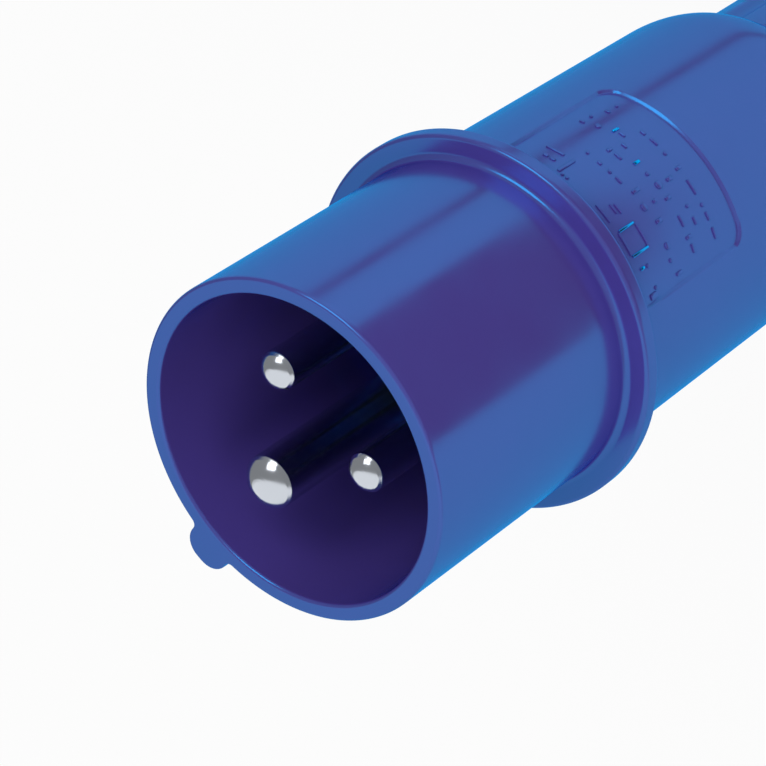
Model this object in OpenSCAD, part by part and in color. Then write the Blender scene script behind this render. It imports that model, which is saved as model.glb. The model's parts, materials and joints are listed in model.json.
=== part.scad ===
// Industrial pin and sleeve plug, 16 A, two poles and earth, for a flexible cable.
// It stands on the flat end of its gland nut with the mouth upwards: the plug's axis is Z, z = 0 is the
// nut's end face, and the key rib is on the +Y side. All lengths are in millimetres.

/* [Shroud] */
// Outside diameter of the shroud
shroud_d = 44; // [42:0.5:48]
// Wall of the shroud
shroud_wall = 2.15; // [1.8:0.05:2.6]
// Length of the shroud in front of the flange
shroud_len = 36.9; // [34:0.1:42]
// How far the mouth's floor lies behind the flange's front face
floor_drop = 1.1; // [0.6:0.1:1.4]
// Rounding of the rim's two edges
rim_round = 0.45; // [0.2:0.05:0.8]

/* [Flange] */
// Outside diameter of the flange
flange_d = 50.4; // [49:0.2:56]
// Thickness of the flange
flange_t = 2.5; // [2:0.1:4]
// Rounding of the flange's edges
flange_round = 0.55; // [0.2:0.05:0.9]
// Fillet between the shroud and the flange
root_fillet = 0.9; // [0.4:0.1:1.6]

/* [Key rib] */
// Width of the key rib
key_w = 6; // [4:0.2:8]
// Height of the key rib above the shroud
key_h = 3.45; // [2.6:0.05:4]
// Rounding of the key rib's two outer edges
key_round = 1.9; // [0.6:0.1:1.9]

/* [Contact pins] */
// Diameter of the circle that the pins stand on
pin_circle_d = 18.1; // [17.4:0.1:18.8]
// Diameter of the live and neutral pins
pin_d = 5; // [4.4:0.1:5.4]
// Diameter of the earth pin
earth_pin_d = 7; // [6.4:0.1:7.4]
// How far the pins' tips stay behind the rim
pin_setback = 1.6; // [1:0.1:5]
// How much further the earth pin reaches than the live and neutral pins, so that it connects first
earth_lead = 0.9; // [0:0.1:0.9]
// Height of a pin's domed tip, as a share of its diameter
tip_share = 0.26; // [0.15:0.01:0.4]

/* [Terminals] */
// Wall of a terminal barrel around the line of its pin
barrel_wall = 1.5; // [1.2:0.1:1.8]
// Length of a terminal barrel
barrel_len = 13; // [11:0.5:16]
// Diameter of the hole that takes a wire
wire_hole_d = 3.6; // [3:0.1:4]
// Depth of the hole that takes a wire
wire_hole_depth = 10.5; // [9:0.5:10.5]
// Diameter of a terminal screw's thread
terminal_screw_d = 3; // [2.5:0.1:3.5]

/* [Contact carrier] */
// Thickness of carrier in front of the terminal barrels
seat_len = 8; // [6:0.5:9]
// Thickness of the ledge that the carrier sits on
ledge_t = 3; // [2:0.1:3.6]
// Width of that ledge
ledge_w = 1.9; // [1.2:0.1:2.2]
// Thickness of the plate that holds the pins in
retainer_t = 2.5; // [2:0.1:3.5]
// Diameter of the retainer's screws
retainer_screw_d = 3; // [2.5:0.1:3.5]

/* [Rear body] */
// Diameter of the rear body at the flange
body_d = 43.2; // [42.4:0.1:46]
// How much the rear body narrows at each side on its way to the shoulder
body_taper = 0.4; // [0.2:0.05:0.8]
// Length of the rear body without its neck
body_len = 59.4; // [52:0.2:70]
// Wall of the rear body
body_wall = 2.2; // [2.1:0.05:2.6]
// Length of the rounded shoulder
shoulder_len = 9; // [6:0.5:12]

/* [Spigot and bayonet] */
// Length of the spigot that the rear body fits over
spigot_len = 9.6; // [8.6:0.1:10]
// Wall of the spigot
spigot_wall = 1.85; // [1.6:0.05:2]
// Height of a bayonet lug
lug_h = 0.95; // [0.6:0.05:1]
// Thickness of a bayonet lug along the plug
lug_t = 2; // [1.6:0.1:2.4]
// Turn that locks the rear body, in degrees
bayonet_turn = 25; // [15:1:28]

/* [Label panel] */
// Length of the sunk label panel along the plug
panel_len = 23; // [12:0.5:30]
// Width of the sunk label panel
panel_w = 26.2; // [14:0.2:30]
// Distance from the flange to the panel
panel_gap = 3; // [1:0.1:6]
// Depth of the panel
panel_depth = 0.4; // [0.2:0.05:0.6]

/* [Cable gland] */
// Diameter of the cable that the seal takes
cable_d = 13; // [10:0.5:14]
// Outside diameter of the threaded neck
neck_d = 28; // [27:0.2:29]
// Length of the threaded neck
neck_len = 13; // [12:0.2:15]
// Wall of the neck around the seal
neck_wall = 3; // [2.6:0.1:3.2]
// Length of the rubber seal
seal_len = 8; // [6:0.5:8]
// Travel of the nut along its thread
nut_travel = 3; // [1:0.5:3]
// Number of clamping fingers
fingers = 8; // [6:1:10]

/* [Gland nut] */
// Diameter of the gland nut
nut_d = 35; // [33:0.5:38]
// Diameter of the flat end that the plug stands on
nut_end_d = 30; // [26:0.5:31]
// Length of the gland nut
nut_len = 28; // [27:0.5:32]
// Number of grip flutes round the nut
flutes = 14; // [8:1:18]
// Depth of a grip flute
flute_depth = 0.9; // [0.4:0.1:1.1]

/* [Clearances] */
// Gap at each side between parts that plug together
fit_gap = 0.15; // [0.1:0.05:0.2]
// Gap round what is pressed or screwed in
seat_gap = 0.05; // [0.02:0.01:0.08]
// Running gap between the neck and the nut
thread_gap = 0.06; // [0.03:0.01:0.09]
// Gap between the tightened nut and the rear body
nut_gap = 1.2; // [0.6:0.1:2]

/* [Hidden] */
$fn = 96;

// Angles round the axis, from +X towards +Y
key_angle = 90;
earth_angle = key_angle;
neutral_angle = key_angle + 120;
live_angle = key_angle - 120;
lug_angles = [0, 180];
catch_angles = [60, 240];
screw_angles = [30, 150];
ring_key_angles = [0, 180];

// Radii
shroud_r = shroud_d / 2;
mouth_r = shroud_r - shroud_wall;
flange_r = flange_d / 2;
body_r = body_d / 2;
body_end_r = body_r - body_taper;
socket_r = body_r - body_wall;
cavity_r = body_end_r - body_wall;
spigot_r = socket_r - fit_gap;
spigot_in_r = spigot_r - spigot_wall;
ledge_r = spigot_in_r - ledge_w;
carrier_r = spigot_in_r - fit_gap;
boss_r = ledge_r - fit_gap;
pin_circle_r = pin_circle_d / 2;
neck_r = neck_d / 2;
pocket_r = neck_r - neck_wall;
entry_r = cable_d / 2 + 2;
nut_r = nut_d / 2;
nut_end_r = nut_end_d / 2;
nut_bore_r = neck_r + thread_gap;

// Heights, from the nut's end face upwards
shoulder_z = nut_len + nut_gap;
neck_end_z = shoulder_z - neck_len;
body_top_z = shoulder_z + body_len;
shoulder_top_z = shoulder_z + shoulder_len;
flange_z = body_top_z + flange_t;
rim_z = flange_z + shroud_len;
floor_z = flange_z - floor_drop;
ledge_back_z = floor_z - ledge_t;
spigot_end_z = body_top_z - spigot_len;
barrel_top_z = floor_z - seat_len;
barrel_end_z = barrel_top_z - barrel_len;
terminal_z = barrel_end_z + barrel_len / 2;
retainer_back_z = barrel_end_z - retainer_t;
pin_tip_z = rim_z - pin_setback;
earth_tip_z = pin_tip_z + earth_lead;

// How far a cut reaches past the face that it opens
past = 1;
// Chamfer on small moulded and turned edges, and on edges that lead a part in
edge = 0.3;
lead_in = 0.5;

// Seal groove in the spigot, just behind the flange
groove_top_z = body_top_z - 1;
groove_w = 2;
groove_depth = 1;

// Bayonet lugs, whose width is in degrees, then the carrier's catches and the notch that sets its angle
lug_w = 12;
lug_top_z = spigot_end_z + lug_t + 1.2;
catch_z = (ledge_back_z + spigot_end_z) / 2;
catch_w = 5;
catch_t = 2.2;
notch_w = 4;

// Screw heads and their recesses, as shares of the thread's diameter
head_share = 1.8;
head_t_share = 0.6;
cross_share = 1.05;
cross_w_share = 0.23;

// Screws
lock_z = body_top_z - 5.6;
lock_screw_d = 2.6;
lock_head_d = lock_screw_d * head_share + 2 * fit_gap;
lock_head_t = lock_screw_d / 2;
lock_hole_d = lock_screw_d + 2 * seat_gap;
terminal_head_d = terminal_screw_d * 1.45;
driver_way_d = terminal_screw_d * 1.65;
collar = 0.4;
retainer_r = carrier_r - 0.4;
retainer_screw_r = carrier_r * 0.74;
screw_bite = retainer_screw_d * 2.2;

// Label panel's corners
panel_round = 2;

// Gland: the clamp ring's keys stay in the neck over the whole travel of the nut
base_h = nut_travel + 0.8;
seal_gap = 4 * seat_gap;
ring_top_z = neck_end_z + base_h;
seal_top_z = ring_top_z + seal_gap + seal_len;
seat_t = 2.5;
shoulder_round = 3;
nut_end_wall = 6;
nut_round = 0.8;
nut_step_z = neck_end_z - 0.7;
ring_end_z = nut_end_wall + 0.4;
ring_in_r = cable_d / 2 + 0.6;
ring_out_r = pocket_r - fit_gap;
ring_key_h = 1;
ring_key_w = 3;
finger_t = 1.5;
finger_slot_w = 1.2;
finger_tip_r = ring_in_r + finger_t;
cone_gap = 0.2;

// Points along an arc about c, from angle a0 to a1
function arc(c, r, a0, a1, n = 6) =
    [for (i = [0:n]) c + r * [cos(a0 + (a1 - a0) * i / n), sin(a0 + (a1 - a0) * i / n)]];

// A quarter ellipse that leaves [r, z] straight down and turns inwards by dr over a height of dz
function shoulder(r, z, dr, dz, n = 8) =
    [for (i = [0:n]) [r - dr * (1 - cos(90 * i / n)), z - dz * sin(90 * i / n)]];

module turned(points) {
    rotate_extrude() polygon(points);
}

// A block on a cylinder, from radius r_in to r_out, over `width` degrees about `angle`
module sector(r_in, r_out, z, h, angle, width) {
    rotate([0, 0, angle - width / 2])
        rotate_extrude(angle = width)
            translate([r_in, z]) square([r_out - r_in, h]);
}

// A round bar along the radius at `angle`, from r_in to r_out
module radial(angle, z, r_in, r_out, d1, d2) {
    rotate([0, 0, angle]) translate([r_in, 0, z]) rotate([0, 90, 0])
        cylinder(h = r_out - r_in, d1 = d1, d2 = d2);
}

// A block w wide that stands across the radius at `angle`, from r_in to r_out and from z upwards by h
module block_out(angle, r_in, r_out, w, z, h) {
    rotate([0, 0, angle]) translate([r_in, -w / 2, z]) cube([r_out - r_in, w, h]);
}

module at_pin(angle) {
    rotate([0, 0, angle]) translate([pin_circle_r, 0, 0]) children();
}

module front_shroud() {
    color("#2f5fae") difference() {
        union() {
            turned(concat(
                arc([mouth_r + rim_round, rim_z - rim_round], rim_round, 180, 90),
                arc([shroud_r - rim_round, rim_z - rim_round], rim_round, 90, 0),
                arc([shroud_r + root_fillet, flange_z + root_fillet], root_fillet, 180, 270),
                arc([flange_r - flange_round, flange_z - flange_round], flange_round, 90, 0),
                arc([flange_r - flange_round, body_top_z + flange_round], flange_round, 0, -90),
                [[spigot_r, body_top_z], [spigot_r, groove_top_z],
                 [spigot_r - groove_depth, groove_top_z], [spigot_r - groove_depth, groove_top_z - groove_w],
                 [spigot_r, groove_top_z - groove_w], [spigot_r, spigot_end_z + lead_in],
                 [spigot_r - lead_in, spigot_end_z], [spigot_in_r, spigot_end_z],
                 [spigot_in_r, ledge_back_z], [ledge_r, ledge_back_z],
                 [ledge_r, floor_z], [mouth_r, floor_z]]));
            key_rib();
            for (a = lug_angles)
                sector(spigot_r - spigot_wall / 3, spigot_r + lug_h, lug_top_z - lug_t, lug_t, a, lug_w);
        }
        for (a = catch_angles)
            block_out(a, spigot_in_r - past, spigot_r + past, catch_w + 2 * fit_gap,
                catch_z - catch_t / 2 - fit_gap, catch_t + 2 * fit_gap);
        // The notch that sets the carrier's angle
        block_out(key_angle, ledge_r - past, ledge_r + ledge_w / 2, notch_w + 2 * fit_gap,
            ledge_back_z - past, ledge_t + 2 * past);
        radial(key_angle, lock_z, spigot_in_r - past, spigot_r + past, lock_hole_d, lock_hole_d);
    }
}

module key_rib() {
    top = shroud_r + key_h;
    root_z = flange_z - flange_t / 4;
    translate([0, 0, root_z]) linear_extrude(rim_z - root_z)
        polygon(concat(
            [[-key_w / 2, shroud_r - shroud_wall / 2], [key_w / 2, shroud_r - shroud_wall / 2]],
            arc([key_w / 2 - key_round, top - key_round], key_round, 0, 90),
            arc([key_round - key_w / 2, top - key_round], key_round, 90, 180)));
}

// Seal ring with a crowned face that the rear body presses on
module body_seal() {
    in_r = spigot_r - groove_depth + seat_gap;
    out_r = socket_r - seat_gap;
    top_z = groove_top_z - seat_gap;
    end_z = groove_top_z - groove_w + seat_gap;
    color("#26262a")
        turned([[in_r, top_z], [out_r - edge, top_z], [out_r, top_z - groove_w / 3],
            [out_r, end_z + groove_w / 3], [out_r - edge, end_z], [in_r, end_z]]);
}

module contact_carrier() {
    color("#3b3d43") difference() {
        union() {
            translate([0, 0, ledge_back_z - past]) cylinder(h = floor_z - ledge_back_z + past, r = boss_r);
            translate([0, 0, barrel_end_z]) cylinder(h = ledge_back_z - barrel_end_z, r = carrier_r);
            for (a = catch_angles)
                block_out(a, carrier_r - past, carrier_r + fit_gap + spigot_wall * 0.6, catch_w,
                    catch_z - catch_t / 2, catch_t);
            block_out(key_angle, boss_r - past, boss_r + ledge_w / 2, notch_w,
                ledge_back_z - ledge_t / 6, ledge_t);
        }
        pin_pocket(live_angle, pin_d);
        pin_pocket(neutral_angle, pin_d);
        pin_pocket(earth_angle, earth_pin_d);
        for (a = screw_angles)
            rotate([0, 0, a]) translate([retainer_screw_r, 0, barrel_end_z - past])
                cylinder(h = screw_bite * 1.3 + past, d = retainer_screw_d + 2 * seat_gap);
        // Core holes that keep the moulding's walls even
        for (a = screw_angles) core_hole(a, carrier_r * 0.36);
        core_hole(key_angle + 180, carrier_r * 0.55);
    }
}

module core_hole(angle, r) {
    rotate([0, 0, angle]) translate([r, 0, barrel_end_z - past]) cylinder(h = barrel_len, r = carrier_r / 10);
}

// What a pin, its terminal barrel and the way to its screw take out of the carrier
module pin_pocket(angle, d) {
    at_pin(angle) {
        translate([0, 0, barrel_top_z - past])
            cylinder(h = seat_len + 2 * past, d = d + 2 * (collar + seat_gap));
        translate([0, 0, barrel_end_z - past])
            cylinder(h = barrel_len + past, d = d + 2 * (barrel_wall + seat_gap));
    }
    radial(angle, terminal_z, pin_circle_r, carrier_r + past, driver_way_d, driver_way_d);
}

// Contact pin, turned in one piece with the barrel that takes its wire
module contact_pin(angle, d, tip_z) {
    r = d / 2;
    dome = d * tip_share;
    dome_r = (r * r + dome * dome) / (2 * dome);
    rim_angle = asin((r - edge) / dome_r);
    hole_r = wire_hole_d / 2;
    color("#cdc8bf") difference() {
        at_pin(angle) turned(concat(
            [for (i = [0:6]) let (a = rim_angle * i / 6)
                [dome_r * sin(a), tip_z - dome_r * (1 - cos(a))]],
            [[r, tip_z - dome_r * (1 - cos(rim_angle)) - edge * 1.4],
             [r, floor_z], [r + collar, floor_z], [r + collar, barrel_top_z],
             [r + barrel_wall, barrel_top_z], [r + barrel_wall, barrel_end_z], [hole_r + edge, barrel_end_z],
             [hole_r, barrel_end_z + edge], [hole_r, barrel_end_z + wire_hole_depth],
             [0, barrel_end_z + wire_hole_depth + hole_r / 2]]));
        radial(angle, terminal_z, pin_circle_r, pin_circle_r + r + barrel_wall + past,
            terminal_screw_d, terminal_screw_d);
    }
}

module pin_live() {
    contact_pin(live_angle, pin_d, pin_tip_z);
}

module pin_neutral() {
    contact_pin(neutral_angle, pin_d, pin_tip_z);
}

module pin_earth() {
    contact_pin(earth_angle, earth_pin_d, earth_tip_z);
}

// Slotted screw that clamps a wire, with its head outside the barrel
module terminal_screw(angle, d) {
    head_r = pin_circle_r + d / 2 + barrel_wall + 2 * seat_gap;
    head_t = terminal_screw_d / 2;
    slot_w = terminal_screw_d * cross_w_share;
    color("#b9b4a8") difference() {
        union() {
            radial(angle, terminal_z, pin_circle_r + terminal_screw_d / 8, head_r + head_t / 2,
                terminal_screw_d - 2 * seat_gap, terminal_screw_d - 2 * seat_gap);
            radial(angle, terminal_z, head_r, head_r + head_t, terminal_head_d, terminal_head_d);
        }
        block_out(angle, head_r + head_t / 2, head_r + head_t + past, 2 * terminal_screw_d,
            terminal_z - slot_w / 2, slot_w);
    }
}

module terminal_screw_live() {
    terminal_screw(live_angle, pin_d);
}

module terminal_screw_neutral() {
    terminal_screw(neutral_angle, pin_d);
}

module terminal_screw_earth() {
    terminal_screw(earth_angle, earth_pin_d);
}

module pin_retainer() {
    bite_r = retainer_screw_d * 0.87;
    color("#8d9097") difference() {
        translate([0, 0, retainer_back_z]) cylinder(h = retainer_t, r = retainer_r);
        for (a = [live_angle, neutral_angle, earth_angle])
            at_pin(a) through_retainer(wire_hole_d / 2 + edge);
        for (a = screw_angles)
            rotate([0, 0, a]) {
                translate([retainer_screw_r, 0, 0]) through_retainer(retainer_screw_d / 2 + seat_gap);
                translate([retainer_r + bite_r / 2, 0, 0]) through_retainer(bite_r);
            }
        rotate([0, 0, key_angle + 180]) translate([retainer_r + bite_r / 2, 0, 0]) through_retainer(bite_r);
    }
}

module through_retainer(r) {
    translate([0, 0, retainer_back_z - past]) cylinder(h = retainer_t + 2 * past, r = r);
}

module retainer_screw(angle) {
    head_t = retainer_screw_d * head_t_share;
    slot_l = retainer_screw_d * cross_share;
    slot_w = retainer_screw_d * cross_w_share;
    color("#b9b4a8") rotate([0, 0, angle]) translate([retainer_screw_r, 0, retainer_back_z]) difference() {
        union() {
            translate([0, 0, -head_t / 4])
                cylinder(h = head_t / 4 + retainer_t + screw_bite, d = retainer_screw_d);
            translate([0, 0, -head_t]) cylinder(h = head_t, d = retainer_screw_d * head_share);
        }
        for (size = [[slot_l, slot_w], [slot_w, slot_l]])
            translate([-size[0] / 2, -size[1] / 2, -head_t - past])
                cube([size[0], size[1], past + head_t * 0.55]);
    }
}

module retainer_screw_left() {
    retainer_screw(screw_angles[1]);
}

module retainer_screw_right() {
    retainer_screw(screw_angles[0]);
}

module rear_body() {
    floor_top_z = seal_top_z + seat_t;
    shoulder_r = nut_r - edge;
    color("#2f5fae") difference() {
        turned(concat(
            [[socket_r, body_top_z], [body_r - edge, body_top_z], [body_r, body_top_z - edge]],
            shoulder(body_end_r, shoulder_top_z, body_end_r - shoulder_r, shoulder_len),
            [[neck_r, shoulder_z], [neck_r, neck_end_z + 2 * edge], [neck_r - 2 * edge, neck_end_z],
             [pocket_r, neck_end_z], [pocket_r, seal_top_z], [entry_r, seal_top_z], [entry_r, floor_top_z]],
            [for (i = [8:-1:0]) let (a = 90 * i / 8)
                [cavity_r - (cavity_r - entry_r - shoulder_round) * (1 - cos(a)),
                 shoulder_top_z - (shoulder_top_z - floor_top_z) * sin(a)]],
            [[cavity_r, spigot_end_z - 2 * lead_in], [socket_r, spigot_end_z - lead_in]]));
        label_recess();
        bayonet_grooves();
        radial(key_angle, lock_z, socket_r - past, body_r + past, lock_hole_d, lock_hole_d);
        radial(key_angle, lock_z, body_r - lock_head_t, body_r + seat_gap, lock_screw_d, lock_head_d);
        for (a = ring_key_angles)
            block_out(a, 0, ring_out_r + ring_key_h + 2 * fit_gap, ring_key_w + 2 * fit_gap,
                neck_end_z - past, past + base_h + seal_gap);
    }
}

// The sunk panel on the side away from the key, drawn from the mould's side and parallel to the surface
module label_recess() {
    slope = body_taper / (body_top_z - shoulder_top_z);
    top_z = body_top_z - panel_gap;
    half = panel_w / 2;
    difference() {
        rotate([90, 0, 0]) linear_extrude(body_r + past)
            polygon(concat(
                arc([half - panel_round, top_z - panel_round], panel_round, 0, 90),
                arc([panel_round - half, top_z - panel_round], panel_round, 90, 180),
                arc([panel_round - half, top_z - panel_len + panel_round], panel_round, 180, 270),
                arc([half - panel_round, top_z - panel_len + panel_round], panel_round, 270, 360)));
        translate([0, 0, top_z - panel_len - past])
            cylinder(h = panel_len + 2 * past,
                r1 = body_r - slope * (panel_gap + panel_len + past) - panel_depth,
                r2 = body_r - slope * (panel_gap - past) - panel_depth);
    }
}

// L-shaped ways for the lugs: straight in from the front, then round by bayonet_turn
module bayonet_grooves() {
    half = lug_w / 2 + 1;
    slot_r = socket_r + lug_h + fit_gap;
    slot_z = lug_top_z - lug_t - fit_gap;
    for (a = lug_angles) {
        sector(socket_r - past, slot_r + seat_gap, slot_z + lug_t / 2, body_top_z - slot_z,
            a + bayonet_turn, 2 * half);
        sector(socket_r - past, slot_r, slot_z, lug_t + 2 * fit_gap,
            a + (bayonet_turn + 1) / 2, bayonet_turn + 2 * half + 1);
    }
}

// Countersunk cross-head screw that keeps the bayonet from turning back
module lock_screw() {
    head_r = body_r - lock_head_t;
    slot_l = lock_screw_d * cross_share;
    slot_w = lock_screw_d * cross_w_share;
    color("#b9b4a8") difference() {
        union() {
            radial(key_angle, lock_z, spigot_in_r + seat_gap, head_r + edge, lock_screw_d, lock_screw_d);
            radial(key_angle, lock_z, head_r + seat_gap, body_r - fit_gap, lock_screw_d - 2 * seat_gap,
                lock_head_d - 4 * fit_gap);
        }
        block_out(key_angle, body_r - lock_head_t * 0.7, body_r + past, slot_l, lock_z - slot_w / 2, slot_w);
        block_out(key_angle, body_r - lock_head_t * 0.7, body_r + past, slot_w, lock_z - slot_l / 2, slot_l);
    }
}

module gland_seal() {
    r_in = cable_d / 2;
    r_out = pocket_r - seat_gap * 2;
    end_z = seal_top_z - seal_len;
    lip = cable_d / 16;
    color("#26262a")
        turned([[r_in, end_z + lip], [r_in + lip, end_z], [r_out - edge, end_z], [r_out, end_z + edge],
            [r_out, seal_top_z - edge], [r_out - edge, seal_top_z], [r_in + lip, seal_top_z],
            [r_in, seal_top_z - lip]]);
}

// Ring with tapered fingers that the nut's cone closes on the cable
module clamp_ring() {
    color("#c9ccd1") difference() {
        union() {
            turned([[ring_in_r, ring_top_z], [ring_out_r - edge, ring_top_z], [ring_out_r, ring_top_z - edge],
                [ring_out_r, neck_end_z], [finger_tip_r, ring_end_z], [ring_in_r, ring_end_z]]);
            for (a = ring_key_angles)
                block_out(a, ring_out_r - finger_t / 3, ring_out_r + ring_key_h, ring_key_w,
                    ring_top_z - base_h, base_h);
        }
        for (i = [0:fingers - 1])
            block_out(360 * (i + 0.5) / fingers, ring_in_r - past, neck_r, finger_slot_w,
                ring_end_z - past, neck_end_z - ring_end_z);
    }
}

module gland_nut() {
    cone_top_r = ring_out_r + cone_gap;
    cone_end_r = finger_tip_r + cone_gap;
    waist_z = nut_end_wall * 1.5;
    flute_r = nut_d / 14;
    color("#2f5fae") difference() {
        turned(concat(
            [[cone_end_r, nut_round], [cone_end_r + nut_round, 0]],
            arc([nut_end_r - nut_round, nut_round], nut_round, -90, 0, 4),
            [[nut_r, waist_z]],
            arc([nut_r - nut_round, nut_len - nut_round], nut_round, 0, 90, 4),
            [[nut_bore_r + lead_in, nut_len], [nut_bore_r, nut_len - lead_in], [nut_bore_r, nut_step_z],
             [cone_top_r, nut_step_z], [cone_end_r, ring_end_z]]));
        for (i = [0:flutes - 1])
            rotate([0, 0, 360 * (i + 0.5) / flutes])
                translate([nut_r + flute_r - flute_depth, 0, waist_z * 0.8])
                    cylinder(h = nut_len, r = flute_r);
    }
}

front_shroud();
body_seal();
contact_carrier();
pin_live();
pin_neutral();
pin_earth();
terminal_screw_live();
terminal_screw_neutral();
terminal_screw_earth();
pin_retainer();
retainer_screw_left();
retainer_screw_right();
rear_body();
lock_screw();
gland_seal();
clamp_ring();
gland_nut();
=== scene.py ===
import json
import math

import bmesh
import bpy
from mathutils import Matrix, Quaternion, Vector


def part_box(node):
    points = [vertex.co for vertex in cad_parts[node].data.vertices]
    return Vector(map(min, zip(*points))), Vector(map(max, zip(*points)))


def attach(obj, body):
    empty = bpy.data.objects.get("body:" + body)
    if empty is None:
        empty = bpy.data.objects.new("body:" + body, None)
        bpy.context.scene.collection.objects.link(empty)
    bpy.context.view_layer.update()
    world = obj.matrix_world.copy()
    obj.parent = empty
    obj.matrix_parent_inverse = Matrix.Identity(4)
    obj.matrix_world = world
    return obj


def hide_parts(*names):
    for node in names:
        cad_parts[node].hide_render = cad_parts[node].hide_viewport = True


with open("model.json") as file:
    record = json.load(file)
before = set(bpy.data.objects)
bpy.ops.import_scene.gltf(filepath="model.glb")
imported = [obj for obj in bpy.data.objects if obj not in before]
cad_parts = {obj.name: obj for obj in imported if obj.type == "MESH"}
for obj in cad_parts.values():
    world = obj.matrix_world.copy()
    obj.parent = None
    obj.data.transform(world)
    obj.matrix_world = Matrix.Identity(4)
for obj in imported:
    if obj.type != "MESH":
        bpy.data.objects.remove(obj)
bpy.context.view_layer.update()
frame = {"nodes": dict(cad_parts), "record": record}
mm = 0.001


def hexColour(text, alpha=1.0):
    # sRGB hex to the linear values that a shader takes
    parts = [int(text[i:i + 2], 16) / 255 for i in (1, 3, 5)]
    return tuple(c / 12.92 if c <= 0.04045 else ((c + 0.055) / 1.055) ** 2.4 for c in parts) + (alpha,)


def addNode(tree, kind, sockets=None, **settings):
    # one node: settings are its own options, sockets are values, or the nodes and outputs that feed them
    node = tree.nodes.new(kind)
    for name, value in settings.items():
        setattr(node, name, value)
    for name, value in (sockets or {}).items():
        if isinstance(value, bpy.types.Node):
            value = value.outputs[0]
        if isinstance(value, bpy.types.NodeSocket):
            tree.links.new(value, node.inputs[name])
        else:
            node.inputs[name].default_value = value
    return node


def towards(azimuth, elevation):
    # a direction from two angles in degrees
    a, e = math.radians(azimuth), math.radians(elevation)
    return Vector((math.cos(a) * math.cos(e), math.sin(a) * math.cos(e), math.sin(e)))


cameraSettings = {
    "place": (-0.05057, -0.27596, 0.36873),
    "aim": (0.00247, 0.01008, 0.1),
    "roll": -123.88,     # the plug stands on its gland, and the view has its mouth at the lower left
    "lens": 150.18,
    "sensor": 36,
    "near": 0.01,
    "far": 20,
}


def makeCamera(settings):
    data = bpy.data.cameras.new("camera")
    data.lens = settings["lens"]
    data.sensor_width = settings["sensor"]
    data.clip_start = settings["near"]
    data.clip_end = settings["far"]
    camera = bpy.data.objects.new("camera", data)
    bpy.context.scene.collection.objects.link(camera)
    place = Vector(settings["place"])
    look = (Vector(settings["aim"]) - place).to_track_quat("-Z", "Y")
    camera.location = place
    camera.rotation_mode = "QUATERNION"
    camera.rotation_quaternion = look @ Quaternion((0, 0, 1), math.radians(settings["roll"]))
    bpy.context.scene.camera = camera


makeCamera(cameraSettings)
print("camera: in place")


# most of a noise texture's values lie between these two
noiseLow, noiseHigh = 0.3, 0.7


def newMaterial(name):
    material = bpy.data.materials.new(name)
    material.use_nodes = True
    material.node_tree.nodes.clear()
    return material, material.node_tree


# PA6, injection moulded in a polished tool: an even violet-blue body under a smooth skin, whose gloss is a
# clear blue that grows towards the edges, with a grain that only shows close up
polyamideSettings = {
    "base": "#4a3b88",
    "deep": "#483985",
    "gloss": "#00aaf6",
    "glossIor": 2.7,
    "ior": 1.53,
    "roughness": 0.2,
    "roughnessSpread": 0.02,
    "mottleMm": 7.0,
    "grainMm": 0.3,
    "grainDepth": 0.03,
    "grainHighMm": 0.1,
}


def mouldedPolyamide(settings):
    material, tree = newMaterial("moulded PA6, blue")
    place = addNode(tree, "ShaderNodeTexCoord").outputs["Object"]
    mottle = addNode(tree, "ShaderNodeTexNoise",
                     {"Vector": place, "Scale": 1 / (settings["mottleMm"] * mm), "Detail": 1.0})
    colour = addNode(tree, "ShaderNodeMix", {0: mottle, 6: hexColour(settings["deep"]),
                                             7: hexColour(settings["base"])}, data_type="RGBA")
    rough = addNode(tree, "ShaderNodeMapRange", {
        "Value": mottle, "From Min": noiseLow, "From Max": noiseHigh,
        "To Min": settings["roughness"] - settings["roughnessSpread"],
        "To Max": settings["roughness"] + settings["roughnessSpread"]})
    grain = addNode(tree, "ShaderNodeTexNoise",
                    {"Vector": place, "Scale": 1 / (settings["grainMm"] * mm), "Detail": 2.0})
    bump = addNode(tree, "ShaderNodeBump", {"Height": grain, "Strength": settings["grainDepth"],
                                            "Distance": settings["grainHighMm"] * mm})
    body = addNode(tree, "ShaderNodeBsdfPrincipled", {
        "Base Color": colour.outputs[2], "Roughness": rough, "IOR": settings["ior"],
        "Specular IOR Level": 0.0, "Normal": bump})
    skin = addNode(tree, "ShaderNodeBsdfGlossy", {"Color": hexColour(settings["gloss"]), "Roughness": rough,
                                                  "Normal": bump})
    share = addNode(tree, "ShaderNodeFresnel", {"IOR": settings["glossIor"], "Normal": bump})
    mixed = addNode(tree, "ShaderNodeMixShader", {0: share, 1: body, 2: skin})
    addNode(tree, "ShaderNodeOutputMaterial", {"Surface": mixed})
    return material


# nickel on turned brass: a bright, slightly cool mirror with the faint rings of the turning tool, and smears
# from handling in its roughness
nickelSettings = {"base": "#cdd2da", "roughness": 0.16, "roughnessShare": 0.3, "ringMm": 0.22,
                  "ringDepth": 0.06, "ringHighMm": 0.05, "smearMm": 1.5}


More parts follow.
